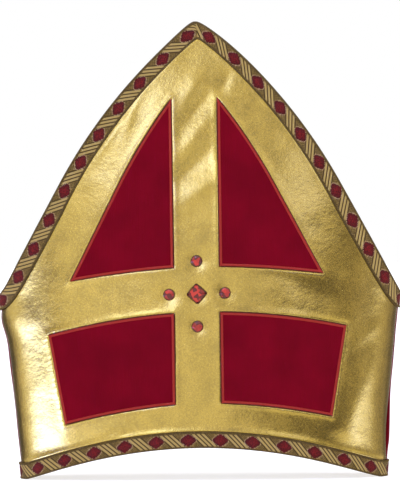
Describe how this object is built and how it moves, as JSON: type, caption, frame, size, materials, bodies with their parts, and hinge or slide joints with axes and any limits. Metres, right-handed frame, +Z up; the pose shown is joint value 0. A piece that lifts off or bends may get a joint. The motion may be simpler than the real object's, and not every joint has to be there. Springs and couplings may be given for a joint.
{
  "type": "bishop mitre",
  "caption": "Bishop's mitre that stands on its rim, with a gold front, a cross left between velvet fields, cut stones and woven edging along both arches and the rim.",
  "frame": {"origin": "on the surface that the rim rests on, midway between the two panels and between the two sides", "axes": "+Z up to the peaks, -Y out of the front with the cross, +X to the right of someone who looks at the front"},
  "size_m": [0.3025, 0.1184, 0.3401],
  "materials": {
    "gold_lame": "soft gold lamé with a metallic sheen",
    "velvet": "deep red velvet",
    "satin": "bright red satin stitch",
    "galloon": "woven ribbon, old gold with dark red diamonds",
    "stone": "polished red cut stone with a flat back"
  },
  "bodies": {
    "root": {"front_panel": "gold_lame", "back_panel": "velvet", "velvet_upper_left": "velvet", "velvet_upper_right": "velvet", "velvet_lower_left": "velvet", "velvet_lower_right": "velvet", "border_upper_left": "satin", "border_upper_right": "satin", "border_lower_left": "satin", "border_lower_right": "satin", "galloon_front": "galloon", "galloon_back": "galloon", "galloon_rim": "galloon", "stone_centre": "stone", "stone_top": "stone", "stone_bottom": "stone", "stone_left": "stone", "stone_right": "stone"}
  },
  "joints": []
}
